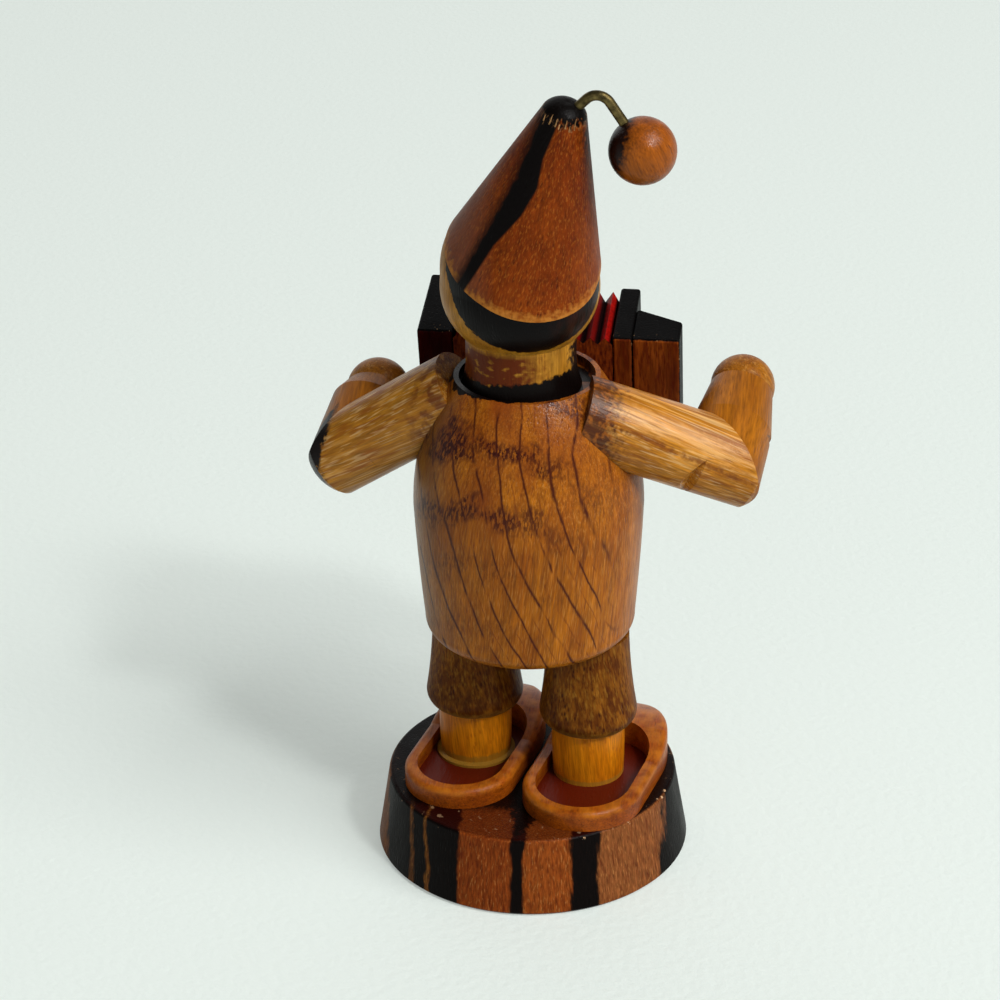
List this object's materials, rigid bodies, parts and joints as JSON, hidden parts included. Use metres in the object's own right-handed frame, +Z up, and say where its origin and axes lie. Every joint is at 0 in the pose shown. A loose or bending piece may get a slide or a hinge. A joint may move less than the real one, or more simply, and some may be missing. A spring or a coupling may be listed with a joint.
{
  "type": "german incense smoker",
  "caption": "Turned wooden figure in a pointed hat playing an accordion; its hollow body lifts off to hold an incense cone and smoke leaves at the mouth.",
  "frame": {"origin": "centre of the base's underside, on the surface it stands on", "axes": "+Z up, the figure faces -Y, its right hand on the -X side; the base, legs and shoes are turned 12 degrees about Z"},
  "size_m": [0.0713, 0.0589, 0.1295],
  "materials": {
    "striped_wood": "varnished striped rosewood",
    "hat_wood": "varnished rosewood",
    "clog_wood": "varnished",
    "sock_wood": "varnished",
    "trouser_wood": "varnished walnut",
    "dowel_wood": "plain beech",
    "tinplate": "stamped tinplate",
    "coat_wood": "varnished oak",
    "arm_wood": "varnished oak",
    "bead_wood": "varnished",
    "face_wood": "varnished light wood",
    "eye_paint": "painted black",
    "brass_wire": "aged",
    "case_wood": "painted black, natural back",
    "bellows_paint": "painted red and black",
    "white_key_paint": "painted white",
    "black_key_paint": "painted black"
  },
  "bodies": {
    "stand": {"base": "striped_wood", "right_shoe": "clog_wood", "left_shoe": "clog_wood", "right_sock": "sock_wood", "left_sock": "sock_wood", "right_trouser": "trouser_wood", "left_trouser": "trouser_wood", "right_leg_dowel": "dowel_wood", "left_leg_dowel": "dowel_wood", "seat_disc": "dowel_wood"},
    "pan": {"cone_pan": "tinplate"},
    "figure": {"accordion_peg": "dowel_wood", "torso": "coat_wood", "right_upper_arm": "arm_wood", "left_upper_arm": "arm_wood", "right_forearm": "arm_wood", "left_forearm": "arm_wood", "right_hand": "bead_wood", "left_hand": "bead_wood", "treble_case": "case_wood", "bass_case": "case_wood", "keyboard": "case_wood", "bellows": "bellows_paint", "white_keys": "white_key_paint", "black_key_1": "black_key_paint", "black_key_2": "black_key_paint", "black_key_3": "black_key_paint", "black_key_4": "black_key_paint", "black_key_5": "black_key_paint", "black_key_6": "black_key_paint", "black_key_7": "black_key_paint", "black_key_8": "black_key_paint"},
    "head": {"head": "face_wood", "hat": "hat_wood", "nose": "bead_wood", "right_eye": "eye_paint", "left_eye": "eye_paint", "tassel_wire": "brass_wire", "bobble": "bead_wood"}
  },
  "joints": [
    {"name": "turn", "type": "hinge", "parent": "stand", "child": "pan", "pos_m": [0, 0, 0.03885], "axis": [0, 0, 1], "continuous": true},
    {"name": "lift", "type": "slide", "parent": "pan", "child": "figure", "axis": [0, 0, 1], "range_m": [0, 0.03]},
    {"name": "head_turn", "type": "hinge", "parent": "figure", "child": "head", "pos_m": [0.0009, 0, 0.08015], "axis": [0, 0, 1], "continuous": true}
  ]
}
